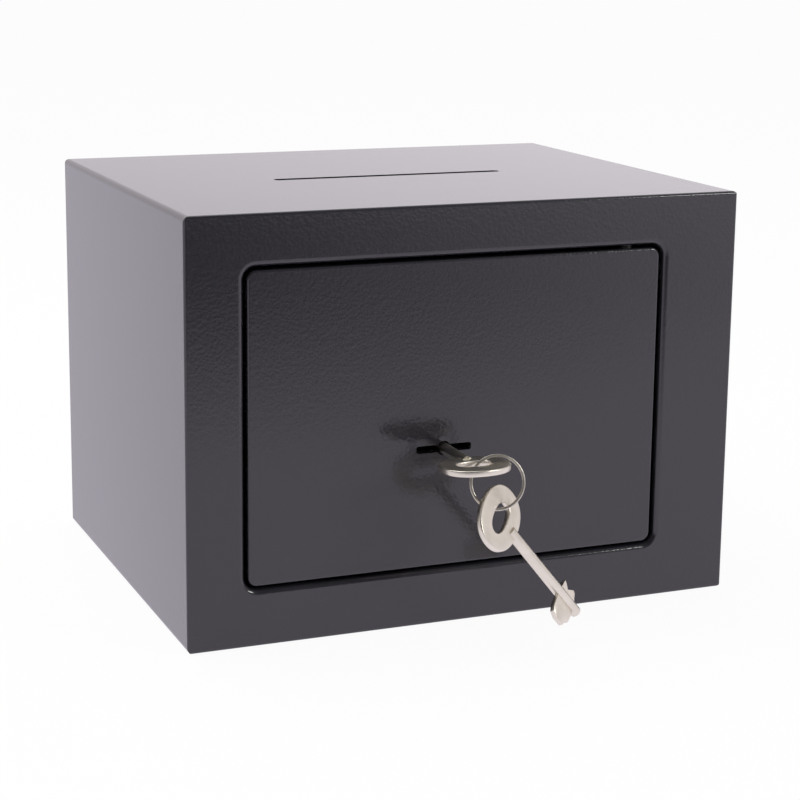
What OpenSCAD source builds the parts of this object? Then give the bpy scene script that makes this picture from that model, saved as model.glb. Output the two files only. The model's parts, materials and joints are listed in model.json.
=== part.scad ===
// Small key-locked deposit safe: a folded sheet case with a deposit slot in its top,
// a flush door hinged on the right, a lever lock with two round bolts, the key in the
// lock and a spare key that hangs from it on a split ring.
// Origin: centre of the case's underside. +X is right, +Y is back, +Z is up.
// The door is drawn closed and unlocked, with the key in the lock.

/* [Case] */
// Outside width of the case
case_w = 250; // [240:1:300]
// Outside depth of the case, from front face to back face
case_d = 200; // [170:1:300]
// Outside height of the case
case_h = 180; // [176:1:240]
// Thickness of the folded case sheet and of the back panel
wall_t = 2; // [1.5:0.1:2.5]
// Radius of the four long bends of the case
bend_r = 2.5; // [2:0.1:4]
// Radius of the rounded front edge, all round the front frame
front_edge_r = 1.2; // [1:0.1:2.5]
// Thickness of the front frame
frame_t = 3; // [2.5:0.1:3.5]
// Width of the frame to the left of the door opening
frame_left = 24.7; // [22:0.1:26]
// Width of the frame to the right of the door opening
frame_right = 35.7; // [34:0.1:40]
// Height of the frame under the door opening
frame_bottom = 24.4; // [24:0.1:30]
// Height of the frame over the door opening
frame_top = 21.6; // [21:0.1:30]
// Radius of the rounded lip round the door opening
lip_r = 2.6; // [0.8:0.1:2.8]

/* [Deposit slot and fittings] */
// Length of the deposit slot
slot_l = 110; // [80:1:150]
// Width of the deposit slot
slot_w = 4.8; // [4.6:0.1:8]
// Distance of the slot's middle in front of the middle of the top
slot_fwd = 4; // [0:1:20]
// Drop from the inside of the top to the shelf of the slot guard
guard_drop = 17; // [14:1:22]
// Thickness of the slot guard's sheet
guard_t = 1.2; // [1:0.1:2]
// Distance between the two anchor holes, in the base and in the back
anchor_pitch = 120; // [80:1:160]
// Diameter of an anchor hole
anchor_d = 10; // [8:0.5:14]
// Height of the back anchor holes above the underside
anchor_z = 110; // [60:1:140]
// Thickness of the felt floor mat
mat_t = 2; // [1:0.5:4]

/* [Door] */
// Gap between the door and the frame, over, under and to the left of the door
door_gap = 1.3; // [1:0.1:2.5]
// Gap between the door and the frame on the hinge side, where the door's edge swings out
hinge_gap = 2; // [1.8:0.1:2.5]
// Thickness of the door plate
door_t = 4; // [3:0.5:5]
// Radius of the door's corners
door_corner_r = 4; // [2:0.5:8]
// Radius of the door's front edge
door_edge_r = 1.1; // [0.5:0.1:1.5]
// Distance of the hinge axis in from the right edge of the door
hinge_in = 12; // [11:0.5:14]
// Distance of the hinge axis behind the front face
hinge_back = 9; // [8.5:0.1:9.5]
// Diameter of a hinge pin
pin_d = 6; // [5:0.5:7]
// Depth of the tray that covers the lock, from the back of the door plate
tray_depth = 27.2; // [26.4:0.1:34]
// Thickness of the tray's sheet
tray_t = 1.2; // [1:0.1:2]

/* [Boltwork] */
// Diameter of a round bolt
bolt_d = 16; // [12:1:17]
// Distance of each round bolt from the door's top or bottom edge
bolt_in = 27; // [27:0.5:29]
// Travel of the boltwork
throw = 14; // [10:0.5:14]
// Length of the guide block that each round bolt slides in
guide_l = 16; // [12:1:20]

/* [Lock] */
// Distance of the key's axis left of the middle of the door
key_left = 6.9; // [4:0.1:10]
// Distance of the key's axis below the middle of the door
key_drop = 14.4; // [12:0.1:18]
// Width of the lock case
lock_w = 78; // [76:1:90]
// Height of the lock case
lock_h = 71; // [71:1:74]
// Thickness of the lock case's sheet and of its cover
lock_t = 1.5; // [1:0.1:1.6]
// Number of levers
levers = 5; // [3:1:5]
// Thickness of a lever
lever_t = 1.2; // [1:0.1:1.3]
// Angle that the levers lift through
lever_lift = 5; // [2:1:5]

/* [Key and ring] */
// Length of the oval bow, across the shaft
bow_l = 30; // [26:0.5:32]
// Width of the oval bow, along the shaft
bow_w = 23; // [21:0.5:24]
// Length of the oval hole in the bow
bow_hole_l = 15.6; // [14:0.2:17]
// Width of the oval hole in the bow
bow_hole_w = 8; // [7.6:0.2:9]
// Thickness of the bow
bow_t = 2.6; // [2:0.1:3]
// Diameter of the shaft
shaft_d = 4.8; // [4:0.1:5.4]
// Length of the shaft, from the bow to its tip
shaft_l = 47; // [47:0.5:50]
// Reach of a bit from the shaft's axis
bit_r = 11.8; // [11:0.1:12]
// Length of a bit along the shaft
bit_l = 10.8; // [10:0.1:10.9]
// Thickness of a bit
bit_t = 2.2; // [1.8:0.1:2.5]
// Inside radius of the split ring
ring_r = 10.4; // [10:0.1:12]
// Thickness of the ring's wire, along the radius
wire_w = 1.2; // [1:0.1:1.4]
// Thickness of the ring's two turns together, across the ring
wire_t = 1.8; // [1.4:0.1:2.2]

/* [Hidden] */
$fn = 48;
// Running clearance on the radius of a hinge pin, a lever post or a key hub
run_gap = 0.08;
// Clearance on the radius of a sliding bolt
slide_gap = 0.2;
// Gap between pieces that lie loosely on each other
seat_gap = 0.2;
// Overshoot of a cutting shape past the face that it cuts
cut = 1;

// Case planes
front_y = -case_d / 2;
back_y = case_d / 2;
case_right = case_w / 2;
inner_x = case_w / 2 - wall_t;
inner_top = case_h - wall_t;
frame_back_y = front_y + frame_t;
back_edge_r = 1;
slot_y = -slot_fwd;
open_x0 = frame_left - case_right;
open_x1 = case_right - frame_right;
open_z0 = frame_bottom;
open_z1 = case_h - frame_top;

// Slot guard: reach past the slot's ends and to either side, flange under the top, front lip
guard_over = 7;
guard_half = 16;
guard_flange = 9;
guard_lip = 6;

// Floor mat: gap to the walls and to the frame, corner radius, and room round an anchor hole
mat_edge = 2;
mat_front = 12;
mat_r = 4;
mat_ring = 10;

// Door planes
door_x0 = open_x0 + door_gap;
door_x1 = open_x1 - hinge_gap;
door_z0 = open_z0 + door_gap;
door_z1 = open_z1 - door_gap;
door_w = door_x1 - door_x0;
door_h = door_z1 - door_z0;
door_cx = (door_x0 + door_x1) / 2;
door_cz = (door_z0 + door_z1) / 2;
door_back_y = front_y + door_t;
hinge_x = door_x1 - hinge_in;
hinge_y = front_y + hinge_back;
lug_h = 10;
lug_half = 7;
lug_over = 5;
lug_back_y = hinge_y + lug_over;
bracket_t = 2.5;
bracket_w = 19;
bracket_leg = 15;
bracket_over = 7;
bracket_gap = 1.8;
pin_in_lug = 8;
pin_head_over = 2.4;
pin_head_h = 1.5;
washer_r = 5;

// Tray behind the door plate
tray_x0 = door_x0 + 2.1;
tray_x1 = hinge_x - lug_half - 3;
tray_z0 = door_z0 + 3.6;
tray_z1 = door_z1 - 3.6;
tray_back_y = door_back_y + tray_depth;
tray_r = 3;
post_d = 8;
post_in = 7.5;
screw_d = 3;
head_d = 7;
head_h = 2;
recess_l = 4;
recess_w = 0.9;
post_bore = 10;

// Lock planes, counted back from the door plate
key_x = door_cx - key_left;
key_z = door_cz - key_drop;
lock_standoff = 6;
lock_front_y = door_back_y + lock_standoff;
lock_inside_y = lock_front_y + lock_t;
lock_room = 12.5;
lock_cover_y = lock_inside_y + lock_room;
lock_back_y = lock_cover_y + lock_t;
lock_left = 37.2;
lock_below = 26;
lock_x0 = key_x - lock_left;
lock_x1 = lock_x0 + lock_w;
lock_z0 = key_z - lock_below;
lock_z1 = lock_z0 + lock_h;
lock_post_in = 4.6;
lock_post_d = 7;
sweep_gap = 0.6;
hub_r = 13.4;
curtain_r = 15.6;
curtain_gap = 0.9;
hub_end_y = lock_inside_y;

// Lock bolt, stump and levers
plate_t = 3;
plate_y = lock_inside_y + 0.3;
plate_back_y = plate_y + plate_t;
pivot_right = 16.8;
pivot_above = 23;
pivot_x = key_x + pivot_right;
pivot_z = key_z + pivot_above;
pivot_d = 6;
bar_h = 16;
bar_z0 = pivot_z - bar_h / 2;
bar_z1 = pivot_z + bar_h / 2;
window_x0 = key_x - bit_r - sweep_gap;
window_x1 = key_x + bit_r + sweep_gap + throw;
window_z0 = key_z - bit_r - sweep_gap;
window_z1 = key_z + bit_r + sweep_gap;
rail_w = 4.6;
bar_over = 4;
neck_cut = 2;
stump_d = 5;
stump_left = 5.2;
stump_x = key_x - stump_left;
lever_y = plate_back_y + 0.6;
lever_pitch = lever_t + 0.4;
lever_reach = 48;
lever_step = [6, 5];
lever_z0 = key_z + bit_r + 1.4;
lever_above = 10;
lever_z1 = pivot_z + lever_above;
levers_back_y = lever_y + (levers - 1) * lever_pitch + lever_t;
gate_gap = 0.4;
gate_x0 = stump_x - throw - stump_d / 2 - 1.3;
gate_x1 = stump_x + stump_d / 2 + 1.3;
lift_at_gate = (pivot_x - gate_x0) * sin(lever_lift);
gate_z0 = pivot_z - stump_d / 2 - gate_gap - lift_at_gate;
gate_z1 = pivot_z + stump_d / 2 + gate_gap;
spring_left = 34;
spring_x = pivot_x - spring_left;
spring_y = (lever_y + levers_back_y) / 2;
spring_d = 7;
spring_wire = 0.8;
spring_turns = 5;

// Carrier and round bolts
bolt_back = 13;
bolt_y = door_back_y + bolt_back;
bolt_z = [door_z0 + bolt_in, door_z1 - bolt_in];
bolt_tip_x = tray_x0 + 0.5;
carrier_t = 3;
carrier_off = 5;
carrier_x1 = lock_x0 - carrier_off;
carrier_x0 = carrier_x1 - carrier_t;
carrier_half = 8;
carrier_over = 11;
guide_half = bolt_d / 2 + 3;
keeper_t = 2;
keeper_off = 6.5;
keeper_x1 = tray_x0 - keeper_off;
keeper_wide = 18;
keeper_deep = 29;
keeper_over = 13;
keeper_gap = 0.6;
bolt_screw_d = 4;
bolt_screw_l = 11;
bolt_head_d = 8;
bolt_head_h = 2.6;

// Keys. A key lies along +Y with its bow centred on its own origin.
bit_from = 32.8;
shown_shaft = 20;
key_pos = [key_x, front_y - shown_shaft - bow_w / 2, key_z];
keyhole_w = 2 * bit_r + 1.4;
keyhole_h = 3.2;
keyhole_d = 6.2;

// Ring. It hangs in the bow's right end, turned towards the viewer's left and leaning out.
// Its place lets it keep hanging the same way while the key turns half a turn.
ring_turn = -11.65;
ring_lean = 12.85;
ring_in = 5.6;
ring_out = 1.7;
ring_rise = 3.3;
ring_below = ring_r - ring_rise;
ring_pos = key_pos + [bow_l / 2 - ring_in, -ring_out, -ring_below];

// Spare key: how it is turned, and where its hole lies on the lowest point of the ring,
// measured from the end of the hole in the key's own directions
spare_turn = [-116.2, -30.3, 44.7];
spare_shift = [4.24, 1.22, -0.75];

steel_dark = [0.24, 0.24, 0.26];
steel_inner = [0.3, 0.3, 0.32];
zinc = [0.72, 0.72, 0.7];
nickel = [0.83, 0.8, 0.77];
brass = [0.78, 0.66, 0.38];
felt = [0.13, 0.13, 0.14];

// ---- shared shapes ----

// Rectangle from corner a to corner b with round corners of radius r
module round_rect(a, b, r) {
    difference() {
        translate(a) square(b - a);
        for (right = [0, 1], up = [0, 1])
            translate([right ? b[0] : a[0], up ? b[1] : a[1]])
                mirror([right, 0]) mirror([0, up])
                    difference() {
                        translate([-cut, -cut]) square(r + cut);
                        translate([r, r]) circle(r);
                    }
    }
}

// Stands a flat drawing up at depth y, facing the front, and gives it a thickness to the back
module upright(y, t) {
    translate([0, y + t, 0]) rotate([90, 0, 0]) linear_extrude(t) children();
}

// Runs a small edge profile round a rounded rectangle; the profile's x points outwards
module round_path(a, b, r) {
    for (right = [0, 1], up = [0, 1])
        translate([right ? b[0] - r : a[0] + r, up ? b[1] - r : a[1] + r, 0])
            mirror([1 - right, 0, 0]) mirror([0, 1 - up, 0])
                rotate_extrude(angle = 90) translate([r, 0]) children();
    for (right = [0, 1])
        translate([right ? b[0] : a[0], b[1] - r, 0]) mirror([1 - right, 0, 0])
            rotate([90, 0, 0]) linear_extrude(b[1] - a[1] - 2 * r) children();
    for (up = [0, 1])
        translate([a[0] + r, up ? b[1] : a[1], 0]) mirror([0, 1 - up, 0])
            rotate([90, 0, 90]) linear_extrude(b[0] - a[0] - 2 * r) children();
}

// What a rounded edge of radius r takes off a corner. side is 1 where the sheet lies inside
// the path, and -1 where it lies outside.
module edge_profile(r, side) {
    scale_x = -side;
    difference() {
        translate([side > 0 ? -r : -cut, 0]) square([r + cut, r + cut]);
        translate([scale_x * r, 0]) circle(r);
    }
}

// Slot with round ends, length l and width w
module slot_shape(l, w) {
    square([l - w, w], center = true);
    for (end = [-1, 1]) translate([end * (l - w) / 2, 0]) circle(d = w);
}

// Oval of four tangent arcs, length l and width w
module oval(l, w) {
    end_r = w * 0.36;
    a = l / 2;
    b = w / 2;
    side_r = (pow(a - end_r, 2) + b * b - end_r * end_r) / (2 * (b - end_r));
    meet_x = (a - end_r) * side_r / (side_r - end_r);
    intersection() {
        translate([0, b - side_r]) circle(side_r, $fn = 96);
        translate([0, side_r - b]) circle(side_r, $fn = 96);
        square([2 * meet_x, w], center = true);
    }
    for (end = [-1, 1]) translate([end * (a - end_r), 0]) circle(end_r);
}

// Round pin along +X, from x0 to x1
module pin_x(x0, x1, d) {
    translate([x0, 0, 0]) rotate([0, 90, 0]) cylinder(d = d, h = x1 - x0);
}

// Round pin along +Y, from y0 to y1
module pin_y(y0, y1, d) {
    translate([0, y1, 0]) rotate([90, 0, 0]) cylinder(d = d, h = y1 - y0);
}

// Tube or ring of points swept into one closed skin; rings hold equal numbers of points
module skin(rings) {
    sides = len(rings[0]);
    last = len(rings) - 1;
    polyhedron(
        points = [for (one = rings) each one],
        faces = [
            [for (k = [0 : sides - 1]) sides - 1 - k],
            for (i = [0 : last - 1], k = [0 : sides - 1])
                each [[i * sides + k, i * sides + (k + 1) % sides, (i + 1) * sides + k],
                      [i * sides + (k + 1) % sides, (i + 1) * sides + (k + 1) % sides,
                       (i + 1) * sides + k]],
            [for (k = [0 : sides - 1]) last * sides + k]
        ]);
}

// ---- case ----

// Outside of the whole case, with its bends and its rounded front edge
module case_block() {
    intersection() {
        upright(front_y, case_d) round_rect([-case_right, 0], [case_right, case_h], bend_r);
        translate([-case_right, 0, 0]) rotate([90, 0, 90]) linear_extrude(case_w)
            difference() {
                translate([front_y, 0]) square([case_d, case_h]);
                case_end_cuts(case_h, 0);
            }
        linear_extrude(case_h)
            rotate(90) difference() {
                translate([front_y, -case_right]) square([case_d, case_w]);
                case_end_cuts(case_w, -case_right);
            }
    }
}

// Corner cuts at the front and back ends of a side view that is h high
module case_end_cuts(h, z0) {
    for (up = [0, 1])
        translate([0, up ? z0 + h : z0]) mirror([0, up]) {
            translate([front_y, 0]) corner_cut(front_edge_r);
            translate([back_y, 0]) mirror([1, 0]) corner_cut(back_edge_r);
        }
}

// What rounding takes off a square corner at the origin
module corner_cut(r) {
    difference() {
        translate([-cut, -cut]) square(r + cut);
        translate([r, r]) circle(r);
    }
}

// Folded wrap: top, both sides and base in one sheet
module case_wrap() {
    color(steel_dark) difference() {
        intersection() {
            case_block();
            translate([-case_right, frame_back_y, 0]) cube([case_w, case_d, case_h]);
        }
        translate([-inner_x, front_y, wall_t])
            cube([2 * inner_x, case_d + cut, inner_top - wall_t]);
        translate([0, slot_y, inner_top - cut])
            linear_extrude(wall_t + 2 * cut) slot_shape(slot_l, slot_w);
        for (side = [-1, 1])
            translate([side * anchor_pitch / 2, 0, -cut]) cylinder(d = anchor_d, h = wall_t + 2 * cut);
    }
}

// Back panel, let in flush between the walls of the wrap
module back_panel() {
    color(steel_dark) difference() {
        translate([-inner_x, back_y - wall_t, wall_t])
            cube([2 * inner_x, wall_t, inner_top - wall_t]);
        for (side = [-1, 1])
            translate([side * anchor_pitch / 2, 0, anchor_z])
                pin_y(back_y - wall_t - cut, back_y + cut, anchor_d);
    }
}

// Front frame with its rounded lip round the door opening
module front_frame() {
    a = [open_x0, open_z0];
    b = [open_x1, open_z1];
    r = door_corner_r + door_gap;
    lip = min(lip_r, frame_t - 0.3);
    color(steel_dark) difference() {
        intersection() {
            case_block();
            translate([-case_right, front_y, 0]) cube([case_w, frame_t, case_h]);
        }
        upright(front_y - cut, frame_t + 2 * cut) round_rect(a, b, r);
        translate([0, front_y + lip, 0]) rotate([90, 0, 0])
            round_path(a, b, r) edge_profile(lip, -1);
    }
}

// Guard under the slot: a shelf hung from the top, so that nothing is fished out
module slot_guard() {
    half = slot_l / 2 + guard_over;
    back = slot_y + guard_half;
    front = slot_y - guard_half;
    shelf_z = inner_top - guard_drop;
    color(steel_inner) translate([-half, 0, 0]) rotate([90, 0, 90]) linear_extrude(2 * half) {
        translate([front, shelf_z]) square([back - front, guard_t]);
        translate([back - guard_t, shelf_z]) square([guard_t, guard_drop]);
        translate([back - guard_t, inner_top - guard_t]) square([guard_flange, guard_t]);
        translate([front, shelf_z - guard_lip]) square([guard_t, guard_lip + guard_t]);
    }
}

// Felt mat on the floor, with a hole over each anchor hole
module floor_mat() {
    front_left = [mat_edge - inner_x, frame_back_y + mat_front];
    back_right = [inner_x - mat_edge, back_y - wall_t - mat_edge];
    color(felt) difference() {
        translate([0, 0, wall_t]) linear_extrude(mat_t) round_rect(front_left, back_right, mat_r);
        for (side = [-1, 1])
            translate([side * anchor_pitch / 2, 0, 0])
                cylinder(d = anchor_d + mat_ring, h = wall_t + mat_t + cut);
    }
}

// Angle behind the frame, with a square window for each round bolt to shoot through
module bolt_keeper() {
    z0 = bolt_z[0] - keeper_over;
    z1 = bolt_z[1] + keeper_over;
    window = bolt_d + 2 * keeper_gap;
    color(zinc) difference() {
        union() {
            translate([keeper_x1 - keeper_wide, frame_back_y, z0]) cube([keeper_wide, keeper_t, z1 - z0]);
            translate([keeper_x1 - keeper_t, frame_back_y, z0]) cube([keeper_t, keeper_deep, z1 - z0]);
        }
        for (z = bolt_z)
            translate([keeper_x1 - keeper_t - cut, bolt_y - window / 2, z - window / 2])
                cube([keeper_t + 2 * cut, window, window]);
    }
}

// ---- hinges ----

// Angle bracket behind the frame. up is 1 above the door and -1 below it.
module hinge_bracket(up) {
    leg_z = up > 0 ? open_z1 + bracket_gap : open_z0 - bracket_gap - bracket_t;
    plate_z = up > 0 ? leg_z : leg_z + bracket_t - bracket_leg;
    color(zinc) difference() {
        translate([hinge_x - bracket_w / 2, frame_back_y, 0]) {
            translate([0, 0, leg_z]) cube([bracket_w, hinge_y - frame_back_y + bracket_over, bracket_t]);
            translate([0, 0, plate_z]) cube([bracket_w, bracket_t - 1, bracket_leg]);
        }
        translate([hinge_x, hinge_y, leg_z - cut])
            cylinder(d = pin_d + 2 * run_gap, h = bracket_t + 2 * cut);
    }
}

// Pin that goes through the bracket into the door's lug, with a low head outside
module hinge_pin(up) {
    head_z = up > 0 ? open_z1 + bracket_gap + bracket_t : open_z0 - bracket_gap - bracket_t;
    end_z = up > 0 ? door_z1 - pin_in_lug : door_z0 + pin_in_lug;
    color(zinc) translate([hinge_x, hinge_y, 0]) {
        translate([0, 0, min(head_z, end_z)]) cylinder(d = pin_d, h = abs(head_z - end_z));
        translate([0, 0, up > 0 ? head_z : head_z - pin_head_h])
            cylinder(d = pin_d + pin_head_over, h = pin_head_h);
    }
}

// Lug on the back of the door plate, bored for the pin
module hinge_lug(up) {
    z0 = up > 0 ? door_z1 - lug_h - 0.4 : door_z0 + 0.4;
    color(steel_inner) difference() {
        translate([hinge_x - lug_half, door_back_y, z0])
            cube([2 * lug_half, lug_back_y - door_back_y, lug_h]);
        translate([hinge_x, hinge_y, z0 - cut])
            cylinder(d = pin_d + 2 * run_gap, h = lug_h + 2 * cut);
    }
}

// Thrust washer on the lower pin, between bracket and lug
module hinge_washer() {
    z0 = open_z0 - bracket_gap;
    z1 = door_z0 + 0.4 - seat_gap;
    color(brass) translate([hinge_x, hinge_y, z0]) difference() {
        cylinder(r = washer_r, h = z1 - z0);
        translate([0, 0, -cut]) cylinder(d = pin_d + 2 * run_gap, h = z1 - z0 + 2 * cut);
    }
}

// ---- door ----

// Keyhole: a wide slot for the two bits with a round hole for the shaft
module keyhole() {
    round_rect([key_x - keyhole_w / 2, key_z - keyhole_h / 2],
               [key_x + keyhole_w / 2, key_z + keyhole_h / 2], 1);
    translate([key_x, key_z]) circle(d = keyhole_d);
}

// Door plate with its rounded front edge
module door_plate() {
    a = [door_x0, door_z0];
    b = [door_x1, door_z1];
    color(steel_dark) difference() {
        upright(front_y, door_t) round_rect(a, b, door_corner_r);
        translate([0, front_y + door_edge_r, 0]) rotate([90, 0, 0])
            round_path(a, b, door_corner_r) edge_profile(door_edge_r, 1);
        upright(front_y - cut, door_t + 2 * cut) keyhole();
    }
}

// Block that guides a round bolt
module bolt_guide(z) {
    x0 = tray_x0 + tray_t + seat_gap;
    color(zinc) difference() {
        translate([x0, door_back_y, z - guide_half])
            cube([guide_l, bolt_y + guide_half - door_back_y, 2 * guide_half]);
        translate([0, bolt_y, z]) pin_x(x0 - cut, x0 + guide_l + cut, bolt_d + 2 * slide_gap);
    }
}

// The four corners where the tray is screwed down
function tray_corners() = [for (x = [tray_x0 + post_in, tray_x1 - post_in],
                                z = [tray_z0 + post_in, tray_z1 - post_in]) [x, z]];

// Four tapped posts on the back of the door plate
module tray_posts() {
    back = tray_back_y - tray_t;
    color(zinc) for (c = tray_corners())
        translate([c[0], 0, c[1]]) difference() {
            pin_y(door_back_y, back, post_d);
            pin_y(back - post_bore, back + cut, screw_d + 2 * run_gap);
        }
}

// Pressed tray over the lock, with a hole for each round bolt
module door_tray() {
    a = [tray_x0, tray_z0];
    b = [tray_x1, tray_z1];
    t2 = [tray_t, tray_t];
    color(steel_inner) difference() {
        upright(door_back_y, tray_depth) round_rect(a, b, tray_r);
        upright(door_back_y - cut, tray_depth - tray_t + cut) round_rect(a + t2, b - t2, tray_r - tray_t);
        for (z = bolt_z)
            translate([0, bolt_y, z])
                pin_x(tray_x0 - cut, tray_x0 + tray_t + cut, bolt_d + 4 * slide_gap);
        for (c = tray_corners())
            translate([c[0], 0, c[1]])
                pin_y(tray_back_y - tray_t - cut, tray_back_y + cut, screw_d + 2 * slide_gap);
    }
}

// Pan-head screw along Y: the head's underside is at y, and the shank runs to the front
module pan_screw(y, l) {
    difference() {
        union() {
            pin_y(y, y + head_h, head_d);
            pin_y(y - l, y, screw_d);
        }
        // Cross recess
        for (turn = [45, 135])
            translate([0, y + head_h, 0]) rotate([0, turn, 0])
                cube([recess_l, head_h, recess_w], center = true);
    }
}

module tray_screws() {
    color(zinc) for (c = tray_corners())
        translate([c[0], 0, c[1]]) pan_screw(tray_back_y, post_bore - 1);
}

// ---- lock ----

function lock_corners() = [for (x = [lock_x0 + lock_post_in, lock_x1 - lock_post_in],
                                z = [lock_z0 + lock_post_in, lock_z1 - lock_post_in]) [x, z]];

// Four tubes that hold the lock off the door plate
module lock_spacers() {
    color(zinc) for (c = lock_corners())
        translate([c[0], 0, c[1]]) difference() {
            pin_y(door_back_y, lock_front_y, lock_post_d);
            pin_y(door_back_y + 1, lock_front_y + cut, screw_d + 2 * run_gap);
        }
}

// Lock case: a shallow box, open to the back, with a boss in each corner
module lock_case() {
    a = [lock_x0, lock_z0];
    b = [lock_x1, lock_z1];
    t2 = [lock_t, lock_t];
    color(zinc) difference() {
        union() {
            difference() {
                upright(lock_front_y, lock_cover_y - lock_front_y) round_rect(a, b, 2);
                upright(lock_inside_y, lock_room + cut) round_rect(a + t2, b - t2, 0.5);
            }
            for (c = lock_corners())
                translate([c[0], 0, c[1]]) pin_y(lock_inside_y, lock_cover_y, lock_post_d);
        }
        // Round seat of the key curtain
        translate([key_x, 0, key_z])
            pin_y(lock_front_y - cut, lock_inside_y + cut, 2 * (hub_r + run_gap));
        // Way out for the lock bolt
        translate([lock_x0 - cut, plate_y - seat_gap, bar_z0 - seat_gap])
            cube([lock_t + 2 * cut, plate_t + 2 * seat_gap, bar_h + 2 * seat_gap]);
        for (c = lock_corners())
            translate([c[0], 0, c[1]])
                pin_y(lock_front_y - cut, lock_cover_y + cut, screw_d + 2 * run_gap);
    }
}

// Cover of the lock case, with a hole for the tip of the key
module lock_cover() {
    color(zinc) difference() {
        upright(lock_cover_y, lock_t) round_rect([lock_x0, lock_z0], [lock_x1, lock_z1], 2);
        translate([key_x, 0, key_z]) pin_y(lock_cover_y - cut, lock_back_y + cut, shaft_d + 0.6);
        for (c = lock_corners())
            translate([c[0], 0, c[1]])
                pin_y(lock_cover_y - cut, lock_back_y + cut, screw_d + 2 * run_gap);
    }
}

module lock_screws() {
    color(zinc) for (c = lock_corners())
        translate([c[0], 0, c[1]]) pan_screw(lock_back_y, lock_back_y - door_back_y - 1.4);
}

// Post that the levers turn on, riveted to the floor of the lock case
module lever_post() {
    color(zinc) translate([pivot_x, 0, pivot_z]) pin_y(lock_inside_y, lock_cover_y - seat_gap, pivot_d);
}

// Curtain: a disc and hub that turn with the key and close the keyhole when it is turned
module key_curtain() {
    color(brass) difference() {
        translate([key_x, 0, key_z]) {
            pin_y(door_back_y + curtain_gap, lock_front_y - seat_gap, 2 * curtain_r);
            pin_y(lock_front_y - seat_gap, hub_end_y, 2 * hub_r);
        }
        upright(door_back_y, hub_end_y - door_back_y + cut) {
            round_rect([key_x - keyhole_w / 2, key_z - keyhole_h / 2],
                       [key_x + keyhole_w / 2, key_z + keyhole_h / 2], 0.5);
            translate([key_x, key_z]) circle(d = shaft_d + 0.4);
        }
    }
}

// Bolt plate of the lock: a frame round the key, slotted over the lever post
module lock_bolt() {
    slot_h = pivot_d + 0.3;
    color(zinc) upright(plate_y, plate_t) difference() {
        union() {
            translate([carrier_x0, bar_z0]) square([window_x1 + rail_w + bar_over - carrier_x0, bar_h]);
            translate([window_x0 - rail_w, window_z0 - rail_w])
                square([window_x1 - window_x0 + 2 * rail_w, bar_z1 - window_z0 + rail_w]);
        }
        translate([window_x0, window_z0]) square([window_x1 - window_x0, window_z1 - window_z0]);
        translate([pivot_x + throw / 2, pivot_z]) slot_shape(throw + slot_h, slot_h);
        translate([stump_x, pivot_z]) circle(d = stump_d - 1);
        // Necks that drop into the slot of the carrier
        for (up = [0, 1])
            translate([carrier_x0 - cut, up ? bar_z1 - neck_cut : bar_z0 - cut])
                square([carrier_t + cut, neck_cut + cut]);
    }
}

// Stump: a shouldered pin riveted into the lock bolt, which stands in the levers' gates
module bolt_stump() {
    color(nickel) translate([stump_x, 0, pivot_z]) {
        pin_y(plate_y, plate_back_y, stump_d - 1);
        pin_y(plate_back_y, levers_back_y + 0.3, stump_d);
    }
}

// One lever, seen from the front, turning on the post at its right end
module lever_shape() {
    difference() {
        union() {
            translate([pivot_x - lever_reach, lever_z0]) square([lever_reach, lever_z1 - lever_z0]);
            translate([pivot_x, pivot_z]) circle(r = lever_z1 - pivot_z);
        }
        translate([gate_x0, gate_z0]) square([gate_x1 - gate_x0, gate_z1 - gate_z0]);
        translate([pivot_x, pivot_z]) circle(d = pivot_d + 2 * run_gap);
        // Foot of the lever is cut back to a belly over the key
        translate([pivot_x - lever_reach - cut, lever_z0 - cut]) square(lever_step + [cut, cut]);
    }
}

module lock_lever(n) {
    if (n <= levers)
        color(brass) upright(lever_y + (n - 1) * lever_pitch, lever_t) lever_shape();
}

// Coil spring that presses the levers down
module lever_spring() {
    r = (spring_d - spring_wire) / 2;
    z0 = lever_z1 + seat_gap + spring_wire / 2;
    z1 = lock_z1 - lock_t - seat_gap - spring_wire / 2;
    steps = 14;
    sides = 6;
    count = spring_turns * steps;
    color(nickel) translate([spring_x, spring_y, 0])
        skin([for (i = [0 : count])
            let (a = 360 * i / steps, z = z0 + (z1 - z0) * i / count)
            [for (k = [0 : sides - 1])
                let (b = 360 * k / sides, out = r + spring_wire / 2 * cos(b))
                [out * cos(a), out * sin(a), z + spring_wire / 2 * sin(b)]]]);
}

// ---- boltwork ----

// Upright bar that joins the lock bolt to both round bolts
module bolt_carrier() {
    z0 = bolt_z[0] - carrier_over;
    z1 = bolt_z[1] + carrier_over;
    color(zinc) difference() {
        translate([carrier_x0, bolt_y - carrier_half, z0])
            cube([carrier_t, 2 * carrier_half, z1 - z0]);
        translate([carrier_x0 - cut, plate_y, bar_z0 + neck_cut])
            cube([carrier_t + 2 * cut, plate_t, bar_h - 2 * neck_cut]);
        for (z = bolt_z)
            translate([0, bolt_y, z]) pin_x(carrier_x0 - cut, carrier_x1 + cut, bolt_screw_d);
    }
}

// Round bolt, chamfered at its nose and tapped at its back for a screw
module live_bolt(z) {
    nose = 1;
    color(nickel) translate([0, bolt_y, z]) difference() {
        union() {
            pin_x(bolt_tip_x + nose, carrier_x0, bolt_d);
            translate([bolt_tip_x, 0, 0]) rotate([0, 90, 0])
                cylinder(d1 = bolt_d - 2 * nose, d2 = bolt_d, h = nose);
        }
        pin_x(carrier_x0 - bolt_screw_l - 1, carrier_x0 + cut, bolt_screw_d);
    }
}

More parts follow.
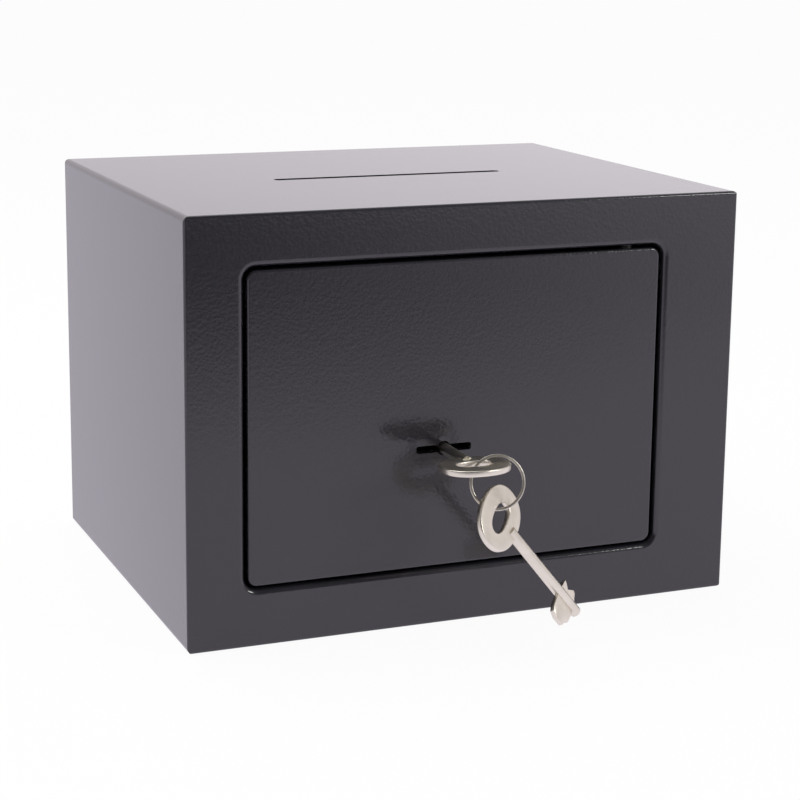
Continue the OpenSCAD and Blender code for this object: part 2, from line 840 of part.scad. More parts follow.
// Two screws that hold the round bolts to the carrier
module bolt_screws() {
    color(zinc) for (z = bolt_z)
        translate([0, bolt_y, z]) {
            pin_x(carrier_x0 - bolt_screw_l, carrier_x1, bolt_screw_d - 2 * run_gap);
            difference() {
                pin_x(carrier_x1, carrier_x1 + bolt_head_h, bolt_head_d);
                for (turn = [45, 135])
                    translate([carrier_x1 + bolt_head_h, 0, 0]) rotate([turn, 0, 0])
                        cube([head_h, recess_l + 1, recess_w], center = true);
            }
        }
}

// ---- keys and ring ----

// Flat outlines of the two bits. Each point is a share of the reach from the shaft's axis,
// and a share of the bit's length along the shaft.
big_bit = [[0, 0], [0.66, 0], [0.88, 0.1], [1, 0.33], [1, 0.78], [0.86, 0.78], [0.73, 0.97],
           [0.38, 1], [0, 0.98]];
small_bit = [[0, 0.02], [0.18, 0.02], [0.54, 0.06], [0.5, 0.2], [0.34, 0.36], [0.46, 0.54],
             [0.54, 0.66], [0.5, 0.78], [0.3, 0.84], [0, 1]];

module bit_shape(outline) {
    translate([0, bit_from]) polygon([for (p = outline) [p[0] * bit_r, p[1] * bit_l]]);
}

// The whole key: bow, shaft and two bits, along +Y from the middle of the bow
module key_blank() {
    tip_y = bow_w / 2 + shaft_l;
    nose = 1;
    translate([0, 0, -bow_t / 2]) linear_extrude(bow_t) difference() {
        oval(bow_l, bow_w);
        oval(bow_hole_l, bow_hole_w);
    }
    pin_y((bow_w + bow_hole_w) / 4, tip_y - nose, shaft_d);
    translate([0, tip_y - nose, 0]) rotate([-90, 0, 0])
        cylinder(d1 = shaft_d, d2 = shaft_d - 2 * nose, h = nose);
    translate([0, bow_w / 2, -bit_t / 2]) linear_extrude(bit_t) {
        mirror([1, 0]) bit_shape(big_bit);
        bit_shape(small_bit);
    }
}

module lock_key() {
    color(nickel) translate(key_pos) key_blank();
}

// Moves its children into the ring's own frame: the ring lies in the X-Z plane there,
// centred on the origin
module in_ring_frame() {
    translate(ring_pos) rotate([0, 0, ring_turn]) rotate([-ring_lean, 0, 0]) children();
}

// Split ring: two flat turns side by side, each open at its own end
module key_ring() {
    turn_t = wire_t / 2;
    gap = 0.8;
    color(nickel) in_ring_frame() rotate([90, 0, 0]) difference() {
        translate([0, 0, -turn_t]) rotate_extrude($fn = 96)
            translate([ring_r, 0]) {
                difference() {
                    square([wire_w, wire_t]);
                    for (x = [0, wire_w])
                        translate([x, turn_t]) circle(0.18, $fn = 16);
                }
            }
        for (side = [-1, 1])
            rotate([0, 0, 60 + 25 * side]) translate([ring_r - cut, -gap / 2, side > 0 ? 0 : -turn_t - cut])
                cube([wire_w + 2 * cut, gap, turn_t + cut]);
    }
}

// Spare key, hung by the end of its bow's hole on the lowest point of the ring
module spare_key() {
    color(nickel) in_ring_frame() translate([0, 0, -ring_r - wire_w / 2])
        rotate([ring_lean, 0, 0]) rotate([0, 0, -ring_turn]) rotate(spare_turn)
            translate(spare_shift - [bow_hole_l / 2, 0, 0]) key_blank();
}

case_wrap();
back_panel();
front_frame();
slot_guard();
floor_mat();
bolt_keeper();
hinge_bracket(1);  // hinge_bracket_upper
hinge_bracket(-1);  // hinge_bracket_lower
hinge_pin(1);  // hinge_pin_upper
hinge_pin(-1);  // hinge_pin_lower
hinge_washer();
door_plate();
hinge_lug(1);  // hinge_lug_upper
hinge_lug(-1);  // hinge_lug_lower
bolt_guide(bolt_z[1]);  // bolt_guide_upper
bolt_guide(bolt_z[0]);  // bolt_guide_lower
tray_posts();
door_tray();
tray_screws();
lock_spacers();
lock_case();
lock_cover();
lock_screws();
lever_post();
key_curtain();
bolt_carrier();
live_bolt(bolt_z[1]);  // live_bolt_upper
live_bolt(bolt_z[0]);  // live_bolt_lower
bolt_screws();
lock_bolt();
bolt_stump();
lock_lever(1);  // lock_lever_1
lock_lever(2);  // lock_lever_2
lock_lever(3);  // lock_lever_3
lock_lever(4);  // lock_lever_4
lock_lever(5);  // lock_lever_5
lever_spring();
lock_key();
key_ring();
spare_key();
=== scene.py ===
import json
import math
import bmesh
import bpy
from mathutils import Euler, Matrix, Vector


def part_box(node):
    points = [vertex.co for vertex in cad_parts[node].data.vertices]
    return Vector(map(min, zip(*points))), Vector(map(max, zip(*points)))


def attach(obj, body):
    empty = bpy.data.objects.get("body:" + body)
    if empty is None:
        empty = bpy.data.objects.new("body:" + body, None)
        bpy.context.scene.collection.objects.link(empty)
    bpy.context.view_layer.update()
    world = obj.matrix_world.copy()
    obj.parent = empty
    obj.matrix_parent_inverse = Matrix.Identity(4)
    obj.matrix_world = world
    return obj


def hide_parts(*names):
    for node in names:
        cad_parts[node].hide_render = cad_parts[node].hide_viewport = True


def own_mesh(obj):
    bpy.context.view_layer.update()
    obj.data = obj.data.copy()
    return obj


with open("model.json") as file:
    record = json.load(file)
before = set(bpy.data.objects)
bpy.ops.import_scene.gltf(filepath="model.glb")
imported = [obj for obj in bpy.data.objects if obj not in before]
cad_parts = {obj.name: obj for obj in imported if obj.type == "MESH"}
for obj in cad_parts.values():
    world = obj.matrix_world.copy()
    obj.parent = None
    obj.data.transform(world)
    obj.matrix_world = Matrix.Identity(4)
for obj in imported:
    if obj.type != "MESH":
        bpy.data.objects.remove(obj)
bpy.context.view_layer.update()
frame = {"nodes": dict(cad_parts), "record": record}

# %% [markdown]
# # A small deposit safe, with its key in the lock
# The safe is a folded steel case with a slot in its top and a flush door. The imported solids
# are loaded above as a fixed frame, and this lesson dresses them: each solid gets a finish,
# and the pieces that catch the light get a softer shape of their own.
# The scene is in metres. The keys, the ring and the spring are drawn in millimetres, as they
# would be measured, and scaled once. A place is asked from the frame instead of typed in.

MM = 0.001
case_lo, case_hi = (Vector(corner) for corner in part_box("case_wrap"))
door_lo, door_hi = (Vector(corner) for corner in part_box("door_plate"))
print("case", [round(v, 4) for v in case_hi - case_lo])
print("door", [round(v, 4) for v in door_hi - door_lo])


# %% [markdown]
# ## A helper for finishes
# Every finish here is one Principled shader fed by a few procedural textures. They all read
# Object coordinates, in metres, so a grain of one millimetre has a scale near one thousand
# on every piece, and it stays put when the piece moves. The helper keeps the wiring short:
# it adds a node, sets its inputs by name, and links what it is given.

# %% Helper: a small shader builder
class Finish:
    def __init__(self, name):
        self.material = bpy.data.materials.new(name)
        self.material.use_nodes = True
        self.tree = self.material.node_tree
        self.tree.nodes.clear()
        self.output = self.tree.nodes.new("ShaderNodeOutputMaterial")
        self.coords = self.tree.nodes.new("ShaderNodeTexCoord").outputs["Object"]

    def add(self, kind, settings=None, **inputs):
        node = self.tree.nodes.new("ShaderNode" + kind)
        for key, value in (settings or {}).items():
            setattr(node, key, value)
        for key, value in inputs.items():
            socket = node.inputs[key.replace("_", " ")]
            if isinstance(value, bpy.types.NodeSocket):
                self.tree.links.new(value, socket)
            else:
                socket.default_value = value
        return node

    def stretched(self, x, y, z):
        return self.add("Mapping", Vector=self.coords, Scale=(x, y, z)).outputs["Vector"]

    def noise(self, scale, detail=3.0, vector=None, rough=0.5):
        return self.add("TexNoise", Vector=vector or self.coords, Scale=scale, Detail=detail,
                        Roughness=rough).outputs["Fac"]

    def span(self, value, low, high, out_low, out_high):
        node = self.add("MapRange", Value=value)
        for socket, number in zip(node.inputs[1:5], (low, high, out_low, out_high)):
            socket.default_value = number
        return node.outputs["Result"]

    def blend(self, amount, first, second):
        node = self.tree.nodes.new("ShaderNodeMix")
        node.data_type = "RGBA"
        self.tree.links.new(amount, node.inputs["Factor"])
        node.inputs[6].default_value = (*first, 1)
        node.inputs[7].default_value = (*second, 1)
        return node.outputs[2]

    def bump(self, height, depth, strength=1.0, under=None):
        node = self.add("Bump", Height=height, Distance=depth, Strength=strength)
        if under is not None:
            self.tree.links.new(under, node.inputs["Normal"])
        return node.outputs["Normal"]

    def calc(self, operation, first, second):
        node = self.tree.nodes.new("ShaderNodeMath")
        node.operation = operation
        self.tree.links.new(first, node.inputs[0])
        self.tree.links.new(second, node.inputs[1])
        return node.outputs["Value"]

    def mixed(self, amount, first, second):
        node = self.tree.nodes.new("ShaderNodeMixShader")
        for socket, value in zip(node.inputs, (amount, first, second)):
            self.tree.links.new(value, socket)
        return node.outputs["Shader"]

    def close(self, **inputs):
        shader = self.add("BsdfPrincipled", **inputs)
        self.tree.links.new(shader.outputs["BSDF"], self.output.inputs["Surface"])
        return self.material


def linear(red, green, blue):
    """A colour given as on screen, 0 to 255, as the light it stands for."""
    return tuple((c / 255 / 12.92) if c <= 10 else ((c / 255 + 0.055) / 1.055) ** 2.4
                 for c in (red, green, blue))


# %% [markdown]
# ## The powder coat
# The case and the door are baked powder on steel: anthracite, with a fine leather texture and
# a glossy skin. The door mirrors the keys softly, and the top turns pale where it is seen at
# a low angle. One rough surface would lose both. So the dark colour below is rough, and a
# clear coat over it does the mirroring. The leather could be modelled, or painted on as a
# picture. Bump is cheaper and has no seams: small smooth cells, and a finer noise on them.
# It is shallow, because deep bump would break the mirror image up.

# %% Finish: leather-texture powder coat
LEATHER_CELLS, LEATHER_GRAIN = 720.0, 1400.0  # to the metre
OUTSIDE_DEPTH, INSIDE_DEPTH = 0.036 * MM, 0.04 * MM


def powder_coat(name, dark, light, depth):
    f = Finish(name)
    cloud = f.noise(9.0, 2.0)
    cells = f.add("TexVoronoi", {"feature": "SMOOTH_F1"}, Vector=f.coords, Scale=LEATHER_CELLS,
                  Smoothness=0.6, Randomness=1.0).outputs["Distance"]
    grain = f.noise(LEATHER_GRAIN, 2.0)
    colour = f.blend(f.span(cloud, 0.3, 0.7, 0.0, 1.0), linear(*dark), linear(*light))
    rough = f.span(grain, 0.3, 0.7, 0.50, 0.56)
    normal = f.bump(cells, depth)
    normal = f.bump(grain, 0.4 * depth, 0.6, normal)
    return f.close(Base_Color=colour, Roughness=rough, Normal=normal, IOR=1.5,
                   Specular_IOR_Level=0.2, Coat_Weight=1.0, Coat_Roughness=0.13,
                   Coat_IOR=1.56, Coat_Normal=normal)


coat = powder_coat("anthracite leather powder coat", (35, 33, 40), (38, 36, 43), OUTSIDE_DEPTH)
inner_coat = powder_coat("dark inside coat", (35, 33, 37), (40, 38, 43), INSIDE_DEPTH)
print("made", coat.name, "and", inner_coat.name)


# %% [markdown]
# ## The metals
# The keys and the ring are nickel plated and tumbled, so they are bright, slightly warm and
# satin rather than mirror-like. The lock and the boltwork are zinc plated or turned steel, with
# a faint cloudy bloom. The levers, the washer and the curtain are stamped brass. One recipe
# serves all of them: a metallic shader, a cloud that shifts colour and roughness, and hairline
# marks from noise, which is stretched along one axis where a tool ran.

# %% Finish: plated, turned and stamped metal
def metal(name, dark, light, rough_low, rough_high, marks=0.02 * MM, along=(1, 1, 1)):
    f = Finish(name)
    cloud = f.noise(160.0, 4.0)
    hairs = f.noise(900.0, 3.0, f.stretched(*along))
    colour = f.blend(f.span(cloud, 0.3, 0.7, 0.0, 1.0), linear(*dark), linear(*light))
    rough = f.span(cloud, 0.25, 0.75, rough_low, rough_high)
    normal = f.bump(hairs, marks, 0.35)
    return f.close(Base_Color=colour, Metallic=1.0, Roughness=rough, Normal=normal)


nickel = metal("tumbled nickel plate", (224, 218, 203), (234, 229, 215), 0.3, 0.38,
               marks=0.006 * MM)
zinc = metal("zinc plate", (120, 121, 120), (146, 146, 141), 0.4, 0.55, along=(1, 1, 0.06))
bright_steel = metal("turned steel", (176, 176, 178), (200, 200, 200), 0.2, 0.32,
                     along=(0.08, 1, 1))
brass = metal("stamped brass", (168, 134, 78), (190, 156, 96), 0.3, 0.45)
# Near-black brass is painted shade, for brass parts that sit in the dark of the keyhole and the
# gap.
painted_shade_brass = metal("brass darkened as painted shade", (24, 22, 21), (34, 31, 29), 0.5, 0.6)
print("metals:", [m.name for m in (nickel, zinc, bright_steel, brass, painted_shade_brass)])


# %% [markdown]
# ## The felt
# The mat on the floor of the safe is pressed felt. A sheen makes cloth look soft at grazing
# angles, and a fine fibre noise breaks up its flat face.

# %% Finish: pressed felt
def pressed_felt():
    f = Finish("pressed felt")
    fibre = f.noise(1100.0, 6.0, rough=0.7)
    patch = f.noise(40.0, 3.0)
    colour = f.blend(f.span(patch, 0.3, 0.7, 0.0, 1.0), linear(38, 38, 40), linear(52, 52, 55))
    return f.close(Base_Color=colour, Roughness=0.95, Sheen_Weight=0.25,
                   Normal=f.bump(fibre, 0.4 * MM, 0.7))


felt = pressed_felt()
print("made", felt.name)

# %% [markdown]
# ## Giving each solid its finish
# The record names a material slot for every solid, so one table from slot to finish dresses
# them all, and a solid that is added later is dressed without a new line here. Only the
# curtain behind the keyhole and the washer behind the door's gap go their own way: their
# brass is painted nearly black as painted shade, so that the keyhole and the gap stay dark.

# %% Dress the solids
by_slot = {"powder_coat": coat, "inner_coat": inner_coat, "felt": felt, "zinc": zinc,
           "brass": brass, "bright_steel": bright_steel, "nickel": nickel}
slot_of = {part["node"]: part["material_slot"] for part in frame["record"]["subparts"]}
for node, solid in frame["nodes"].items():
    solid.data.materials.clear()
    solid.data.materials.append(by_slot[slot_of[node]])
# Painted shade: the brass curtain and washer get the near-black finish so the keyhole and gap
# look dark.
for node in ("key_curtain", "hinge_washer"):
    frame["nodes"][node].data.materials[0] = painted_shade_brass
print("dressed", len(frame["nodes"]), "solids")


# %% [markdown]
# ## From a bmesh to a piece
# Each new piece is drawn near the origin, where its sizes are easy to read, and then carried
# to its place by one matrix that is baked into its points. Its object stays at the origin,
# so textures on Object coordinates stay where they are.

# %% Helper: turn a bmesh into a finished piece
def make_piece(name, bm, material, body, place=Matrix(), smooth=35):
    bmesh.ops.remove_doubles(bm, verts=bm.verts, dist=1e-7)
    bmesh.ops.transform(bm, matrix=place, verts=bm.verts)
    bmesh.ops.recalc_face_normals(bm, faces=bm.faces)
    mesh = bpy.data.meshes.new(name)
    bm.to_mesh(mesh)
    bm.free()
    mesh.polygons.foreach_set("use_smooth", [True] * len(mesh.polygons))
    mesh.set_sharp_from_angle(angle=math.radians(smooth))
    mesh.materials.append(material)
    piece = bpy.data.objects.new(name, mesh)
    bpy.context.scene.collection.objects.link(piece)
    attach(piece, body)
    print(name, len(mesh.polygons), "faces")
    return piece


def round_edges(bm, width, segments=3, sharper_than=40, edges=None):
    """Rounds the edges that are sharper than an angle in degrees, of all or some edges."""
    limit = math.radians(sharper_than)
    chosen = [e for e in (edges or bm.edges)
              if len(e.link_faces) == 2 and e.calc_face_angle() > limit]
    bmesh.ops.bevel(bm, geom=chosen, offset=width, offset_type="OFFSET", segments=segments,
                    profile=0.5, affect="EDGES", material=-1, clamp_overlap=True)


# %% [markdown]
# ## The key
# Both keys are one zinc casting, nickel plated: an oval bow with an oval hole, a round shaft,
# and a bit on each side of its end. The bow is made from two circles stretched to ovals,
# bridged and extruded, so its rim has an even loop of faces that takes a clean bevel. The
# shaft is a cylinder, and a bit is a flat outline pulled to its thickness.

# %% Sizes of the key, in millimetres as cast
BOW_LONG, BOW_WIDE, BOW_THICK = 30.0, 23.0, 2.6
HOLE_LONG, HOLE_WIDE = 15.6, 8.0
BOW_FULL = 0.035  # how far the oval's four corners stand out, as a share
SHAFT_ACROSS, SHAFT_LONG = 4.8, 47.0
BIT_THICK = 2.2
BOW_ROUND, TIP_ROUND, BIT_ROUND = 0.55, 1.0, 0.22
# Outlines of the bits: distance from the shaft's middle, and from the bow's edge
BIG_BIT = [(0.6, 32.8), (7.8, 32.8), (10.4, 33.9), (11.8, 36.4), (11.8, 41.2), (10.1, 41.2),
           (8.6, 43.3), (4.5, 43.6), (0.6, 43.4)]
SMALL_BIT = [(0.6, 33.0), (2.1, 33.0), (6.4, 33.4), (5.9, 35.0), (4.0, 36.7), (5.4, 38.6),
             (6.4, 39.9), (5.9, 41.2), (3.5, 41.9), (0.6, 43.6)]
print("key as cast, mm:", BOW_WIDE + SHAFT_LONG, "long,", BOW_LONG, "over the bow")


# %% Model the bow
def oval_loop(bm, long, wide, z):
    """A circle stretched to an oval, with its points pushed outwards at the four corners."""
    loop = bmesh.ops.create_circle(bm, cap_ends=False, segments=96, radius=1)["verts"]
    for v in loop:
        angle = math.atan2(v.co.y, v.co.x)
        full = 1 + BOW_FULL * math.sin(2 * angle) ** 2
        v.co = Vector((v.co.x * long / 2 * full, v.co.y * wide / 2 * full, z))
    drawn = set(loop)
    return [e for e in bm.edges if all(v in drawn for v in e.verts)]


def key_bow(bm):
    outer = oval_loop(bm, BOW_LONG, BOW_WIDE, -BOW_THICK / 2)
    inner = oval_loop(bm, HOLE_LONG, HOLE_WIDE, -BOW_THICK / 2)
    ring = bmesh.ops.bridge_loops(bm, edges=outer + inner)["faces"]
    raised = bmesh.ops.extrude_face_region(bm, geom=ring)["geom"]
    top = [g for g in raised if isinstance(g, bmesh.types.BMVert)]
    bmesh.ops.translate(bm, verts=top, vec=(0, 0, BOW_THICK))
    bmesh.ops.recalc_face_normals(bm, faces=bm.faces)
    round_edges(bm, BOW_ROUND)


print("the bow is", BOW_THICK, "mm thick")


# %% Model the shaft and the bits
def key_shaft(bm):
    start = (BOW_WIDE + HOLE_WIDE) / 4
    end = BOW_WIDE / 2 + SHAFT_LONG
    along = Matrix.Rotation(math.radians(-90), 4, "X")
    place = Matrix.Translation((0, (start + end) / 2, 0)) @ along
    made = bmesh.ops.create_cone(bm, cap_ends=True, cap_tris=False, segments=40,
                                 radius1=SHAFT_ACROSS / 2, radius2=SHAFT_ACROSS / 2,
                                 depth=end - start, matrix=place)["verts"]
    tip = [e for e in bm.edges if all(v in made and v.co.y > end - 0.01 for v in e.verts)]
    bmesh.ops.bevel(bm, geom=tip, offset=TIP_ROUND, offset_type="OFFSET", segments=3,
                    profile=0.5, affect="EDGES", material=-1, clamp_overlap=True)


def key_bit(bm, outline, side):
    verts = [bm.verts.new((side * x, BOW_WIDE / 2 + y, -BIT_THICK / 2)) for x, y in outline]
    face = bm.faces.new(verts)
    raised = bmesh.ops.extrude_face_region(bm, geom=[face])["geom"]
    top = [g for g in raised if isinstance(g, bmesh.types.BMVert)]
    bmesh.ops.translate(bm, verts=top, vec=(0, 0, BIT_THICK))
    faces = {f for v in verts + top for f in v.link_faces}
    bmesh.ops.recalc_face_normals(bm, faces=list(faces))
    round_edges(bm, BIT_ROUND, 2, 30, list({e for f in faces for e in f.edges}))


print("the shaft is", SHAFT_ACROSS, "mm across, the bits", BIT_THICK, "mm thick")


# %% Put the parts of the key together
def cast_key():
    whole = bmesh.new()
    for part in (key_bow, key_shaft, lambda b: key_bit(b, BIG_BIT, -1),
                 lambda b: key_bit(b, SMALL_BIT, 1)):
        bm = bmesh.new()
        part(bm)
        mesh = bpy.data.meshes.new("part of a key")
        bm.to_mesh(mesh)
        bm.free()
        whole.from_mesh(mesh)
        bpy.data.meshes.remove(mesh)
    bmesh.ops.transform(whole, matrix=Matrix.Scale(MM, 4), verts=whole.verts)
    return whole


print("a key is a bow, a shaft, a big bit and a small bit")


# %% [markdown]
# ## Placing the keys
# The key in the lock lies flat along +Y. The spare hangs from the ring, turned on three
# axes. The turn is typed once, in degrees, and the frame gives the place: the middle of the
# turned casting's box is moved onto the middle of the solid's box.

# %% Place both keys
SPARE_TURN = Euler([math.radians(a) for a in (-116.2, -30.3, 44.7)], "XYZ")


def place_key(name, node, body, turn):
    bm = cast_key()
    turn = turn.to_matrix().to_4x4()
    turned = [turn @ v.co for v in bm.verts]
    middle = Vector([(min(c) + max(c)) / 2 for c in zip(*turned)])
    lo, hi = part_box(node)
    target = (Vector(lo) + Vector(hi)) / 2
    piece = make_piece(name, bm, nickel, body,
                       Matrix.Translation(target - middle) @ turn)
    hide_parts(node)
    return piece


lock_key_casting = place_key("lock_key_casting", "lock_key", "key", Euler((0, 0, 0)))
spare_key_casting = place_key("spare_key_casting", "spare_key", "spare", SPARE_TURN)


# %% [markdown]
# ## The split ring
# A split ring is one flat wire wound twice round, so that it can be prised open and a key
# worked onto it. A torus would show no gap. Spinning a small rounded section nearly two
# turns, with a little rise in each step, gives the real coil with its two ends. The coil is
# then squeezed to two wires' thickness, as the spring of the wire closes a real one.

# %% Model the split ring, in millimetres and degrees
RING_INSIDE, WIRE_WIDE, WIRE_THICK, WIRE_ROUND = 10.4, 1.2, 0.88, 0.3
COIL_PLAY = 0.02
RING_TURNS, RING_STEPS = 1.96, 360
RING_TURN, RING_LEAN, RING_ENDS_AT = -11.65, 12.85, 70


def split_ring():
    bm = bmesh.new()
    square = bmesh.ops.create_grid(bm, x_segments=1, y_segments=1, size=0.5)["verts"]
    bmesh.ops.scale(bm, vec=(WIRE_WIDE, WIRE_THICK, 1), verts=square)
    bmesh.ops.bevel(bm, geom=square, offset=WIRE_ROUND, offset_type="OFFSET", segments=3,
                    profile=0.5, affect="VERTICES", material=-1, clamp_overlap=True)
    bmesh.ops.rotate(bm, verts=bm.verts, cent=(0, 0, 0),
                     matrix=Matrix.Rotation(math.radians(90), 3, "X"))
    rise = WIRE_THICK + COIL_PLAY
    bmesh.ops.translate(bm, verts=bm.verts, vec=(RING_INSIDE + WIRE_WIDE / 2, 0, -rise / 2))
    bmesh.ops.spin(bm, geom=bm.verts[:] + bm.edges[:] + bm.faces[:], cent=(0, 0, 0),
                   axis=(0, 0, 1), angle=RING_TURNS * math.tau,
                   dvec=(0, 0, rise / (RING_STEPS * RING_TURNS / 4)), steps=RING_STEPS,
                   use_merge=False, use_duplicate=False)
    return bm


print("the ring's wire goes", RING_TURNS, "times round and is", WIRE_WIDE, "by", WIRE_THICK, "mm")


# %% Place the split ring
def place_ring():
    bm = split_ring()
    heights = [v.co.z for v in bm.verts]
    bmesh.ops.translate(bm, verts=bm.verts, vec=(0, 0, -(min(heights) + max(heights)) / 2))
    squeeze = 2 * WIRE_THICK / (max(heights) - min(heights))
    bmesh.ops.scale(bm, vec=(1, 1, min(1, squeeze)), verts=bm.verts)
    bmesh.ops.transform(bm, matrix=Matrix.Scale(MM, 4), verts=bm.verts)
    turn = (Matrix.Rotation(math.radians(RING_TURN), 4, "Z")
            @ Matrix.Rotation(math.radians(90 - RING_LEAN), 4, "X")
            @ Matrix.Rotation(math.radians(RING_ENDS_AT), 4, "Z"))
    lo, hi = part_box("key_ring")
    middle = (Vector(lo) + Vector(hi)) / 2
    ring = make_piece("split_ring", bm, nickel, "ring",
                      Matrix.Translation(middle) @ turn)
    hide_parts("key_ring")
    return ring


ring = place_ring()

# %% [markdown]
# ## The lever spring
# The coil between the levers and the roof of the lock gives when the levers lift, and a solid
# from the frame can't. It is wound again here, as a wire section spun five turns up, and it
# rides with the door. Its height and width come from the frame.

# %% Model the lever spring, in millimetres
SPRING_WIRE, SPRING_TURNS = 0.8, 5
SPRING_STEPS = 28 * SPRING_TURNS


def place_spring():
    lo, hi = (Vector(corner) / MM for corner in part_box("lever_spring"))
    radius = (hi.x - lo.x - SPRING_WIRE) / 2
    rise = hi.z - lo.z - SPRING_WIRE
    bm = bmesh.new()
    wire = bmesh.ops.create_circle(bm, cap_ends=True, segments=12, radius=SPRING_WIRE / 2)
    bmesh.ops.rotate(bm, verts=wire["verts"], cent=(0, 0, 0),
                     matrix=Matrix.Rotation(math.radians(90), 3, "X"))
    bmesh.ops.translate(bm, verts=wire["verts"], vec=(radius, 0, SPRING_WIRE / 2))
    bmesh.ops.spin(bm, geom=bm.verts[:] + bm.edges[:] + bm.faces[:], cent=(0, 0, 0),
                   axis=(0, 0, 1), angle=SPRING_TURNS * math.tau,
                   dvec=(0, 0, rise / SPRING_STEPS), steps=SPRING_STEPS, use_merge=False,
                   use_duplicate=False)
    foot = Vector(((lo.x + hi.x) / 2, (lo.y + hi.y) / 2, lo.z))
    place = Matrix.Scale(MM, 4) @ Matrix.Translation(foot)
    coil = make_piece("lever_spring_coil", bm, bright_steel, "door", place)
    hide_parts("lever_spring")
    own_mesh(coil)
    return coil


lever_spring_coil = place_spring()

# %% [markdown]
# ## The floor
# The picture was taken on white. The floor is pale paper, and for the camera it is mixed with
# plain white, so that it looks white and still keeps the safe's soft shadow. Under the safe
# that white is left out, or it would shine up through the anchor holes. Shiny faces see a
# floor of their own: pale, but dark in front of the safe and to its left. That dark spot
# gives the front its slow change from dark at the top left to lighter at the bottom right.

# %% Finish: studio floor
FLOOR_WHITE = 0.95
DARK_SPOT = (-0.15, -1.3, 0)
SPOT_NEAR, SPOT_FAR = 0.42, 0.92  # the spot is darkest up to here, and gone from here on
SPOT_LEVEL, PALE_LEVEL = 0.02, 0.96
MIRRORED_TINT = (0.98, 0.93, 1.04, 1)


def floor_for_camera(f, camera_ray):
    paper = f.add("BsdfDiffuse", Color=(0.86, 0.86, 0.86, 1)).outputs["BSDF"]
    white = f.add("Emission", Color=(1, 1, 1, 1), Strength=1.0).outputs["Emission"]
    unsigned = f.add("VectorMath", {"operation": "ABSOLUTE"}, Vector=f.coords)
    across = f.add("SeparateXYZ", Vector=unsigned.outputs["Vector"]).outputs
    past_x = f.span(across["X"], case_hi.x - 3 * MM, case_hi.x - 2 * MM, 0, FLOOR_WHITE)
    past_y = f.span(across["Y"], case_hi.y - 3 * MM, case_hi.y - 2 * MM, 0, FLOOR_WHITE)
    beside_safe = f.calc("MAXIMUM", past_x, past_y)
    return f.mixed(f.calc("MULTIPLY", camera_ray, beside_safe), paper, white)


def floor_for_gloss(f):
    away = f.add("VectorMath", {"operation": "DISTANCE"})
    f.tree.links.new(f.coords, away.inputs[0])
    away.inputs[1].default_value = DARK_SPOT
    level = f.span(away.outputs["Value"], SPOT_NEAR, SPOT_FAR, SPOT_LEVEL, PALE_LEVEL)
    return f.add("Emission", Color=MIRRORED_TINT, Strength=level).outputs["Emission"]


def studio_paper():
    f = Finish("white studio floor")
    path = f.add("LightPath").outputs
    whole = f.mixed(path["Is Glossy Ray"], floor_for_camera(f, path["Is Camera Ray"]),
                    floor_for_gloss(f))
    f.tree.links.new(whole, f.output.inputs["Surface"])
    return f.material


floor_paper = studio_paper()
print("made", floor_paper.name)


# %% Lay the floor
def stage_floor():
    bm = bmesh.new()
    bmesh.ops.create_grid(bm, x_segments=1, y_segments=1, size=14)
    mesh = bpy.data.meshes.new("floor")
    bm.to_mesh(mesh)
    bm.free()
    mesh.materials.append(floor_paper)
    floor = bpy.data.objects.new("floor", mesh)
    bpy.context.scene.collection.objects.link(floor)
    return floor


floor = stage_floor()
print("floor", [round(v, 1) for v in floor.dimensions], "m")

# %% [markdown]
# ## The world
# The world is white to the camera. To the safe it is a studio: bright behind, with a little
# light at both sides, and dim in front. The top and the side are seen at a low angle, where
# the clear coat mirrors what lies behind the safe, so that level sets how pale they look.

# %% World
ROOM_TINT = (1, 0.945, 1, 1)
BEHIND, LEFT, RIGHT = 0.9, 0.08, 0.35
IN_FRONT = 0.03


def studio_world():
    world = bpy.data.worlds.new("studio")
    bpy.context.scene.world = world
    world.use_nodes = True
    tree = world.node_tree
    tree.nodes.clear()

    def add(kind, operation=None, *values):
        node = tree.nodes.new("ShaderNode" + kind)
        if operation:
            node.operation = operation
        for socket, value in zip(node.inputs, values):
            if isinstance(value, bpy.types.NodeSocket):
                tree.links.new(value, socket)
            else:
                socket.default_value = value
        return node

    direction = add("TexCoord").outputs["Generated"]
    axes = add("SeparateXYZ", None, direction).outputs
    behind = add("MapRange", None, axes["Y"], -0.45, 0.4, IN_FRONT, BEHIND).outputs["Result"]
    left = add("MapRange", None, axes["X"], -0.3, -1.0, 0.0, LEFT).outputs["Result"]
    right = add("MapRange", None, axes["X"], 0.25, 0.8, 0.0, RIGHT).outputs["Result"]
    sides = add("Math", "ADD", left, right).outputs["Value"]
    level = add("Math", "ADD", behind, sides).outputs["Value"]
    room = add("Background", None, ROOM_TINT, level).outputs["Background"]
    white = add("Background", None, (1, 1, 1, 1), 1.0).outputs["Background"]
    camera = add("LightPath").outputs["Is Camera Ray"]
    both = add("MixShader", None, camera, room, white)
    output = tree.nodes.new("ShaderNodeOutputWorld")
    tree.links.new(both.outputs["Shader"], output.inputs["Surface"])
    return world


studio_world()
print("world: behind", BEHIND, "left", LEFT, "right", RIGHT, "in front", IN_FRONT)

# %% [markdown]
# ## The lamps
# Three soft square lamps do the rest: a small one in front on the right for the edges of the
# keys, and a large one above and one on the left for an even fill. The left one is hidden from
# shiny faces, because its mirror image would lie on the top as a white patch.

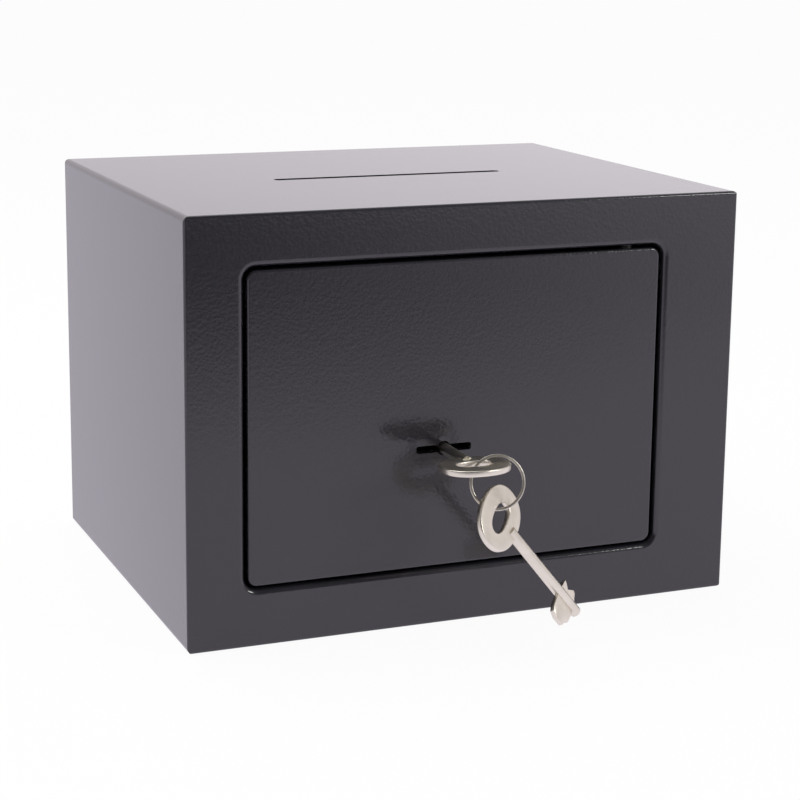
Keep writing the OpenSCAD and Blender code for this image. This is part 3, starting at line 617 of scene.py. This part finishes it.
# %% Lamps
def soft_lamp(name, place, target, size, power):
    data = bpy.data.lights.new(name, "AREA")
    data.shape = "SQUARE"
    data.size = size
    data.energy = power
    lamp = bpy.data.objects.new(name, data)
    lamp.location = place
    aim = Vector(target) - Vector(place)
    lamp.rotation_euler = aim.to_track_quat("-Z", "Y").to_euler()
    bpy.context.scene.collection.objects.link(lamp)
    return lamp


safe_middle = (case_lo + case_hi) / 2
soft_lamp("key lamp", (1.05, -1.25, 0.72), safe_middle, 0.4, 7.0)
soft_lamp("top lamp", (-0.25, 0.35, 1.5), safe_middle, 1.0, 12.0)
left_lamp = soft_lamp("left lamp", (-1.6, 0.1, 0.7), safe_middle, 1.0, 10.0)
left_lamp.visible_glossy = False

# %% [markdown]
# ## The camera
# The camera's place, turn and lens were worked out from the corners of the case and the door
# in the photograph. The lens's axis passes a little above the middle of the picture, which
# is what the small shift stands for.

# %% Camera
CAMERA_PLACE = (-0.3458, -0.8551, 0.2951)
AZIMUTH, ELEVATION, ROLL = (math.radians(a) for a in (-22.488, 11.777, 0.654))
PIXELS, FOCAL_PIXELS, AXIS_PIXELS_UP = 800, 2031.0, 60
SENSOR = 36.0


def photo_camera():
    data = bpy.data.cameras.new("photo camera")
    data.sensor_width = SENSOR
    data.lens = FOCAL_PIXELS / PIXELS * SENSOR
    data.shift_y = -AXIS_PIXELS_UP / PIXELS
    data.clip_start, data.clip_end = 0.01, 60
    back = Vector((math.sin(AZIMUTH) * math.cos(ELEVATION),
                   -math.cos(AZIMUTH) * math.cos(ELEVATION), math.sin(ELEVATION)))
    right = (-back).cross(Vector((0, 0, 1))).normalized()
    up = right.cross(-back)
    right, up = (math.cos(ROLL) * right + math.sin(ROLL) * up,
                 -math.sin(ROLL) * right + math.cos(ROLL) * up)
    camera = bpy.data.objects.new("photo camera", data)
    turn = Matrix((right, up, back)).transposed().to_4x4()
    camera.matrix_world = Matrix.Translation(CAMERA_PLACE) @ turn
    bpy.context.scene.collection.objects.link(camera)
    bpy.context.scene.camera = camera
    return camera


camera = photo_camera()
bpy.context.scene.view_settings.view_transform = "Standard"
print("lens", round(camera.data.lens, 1), "mm")
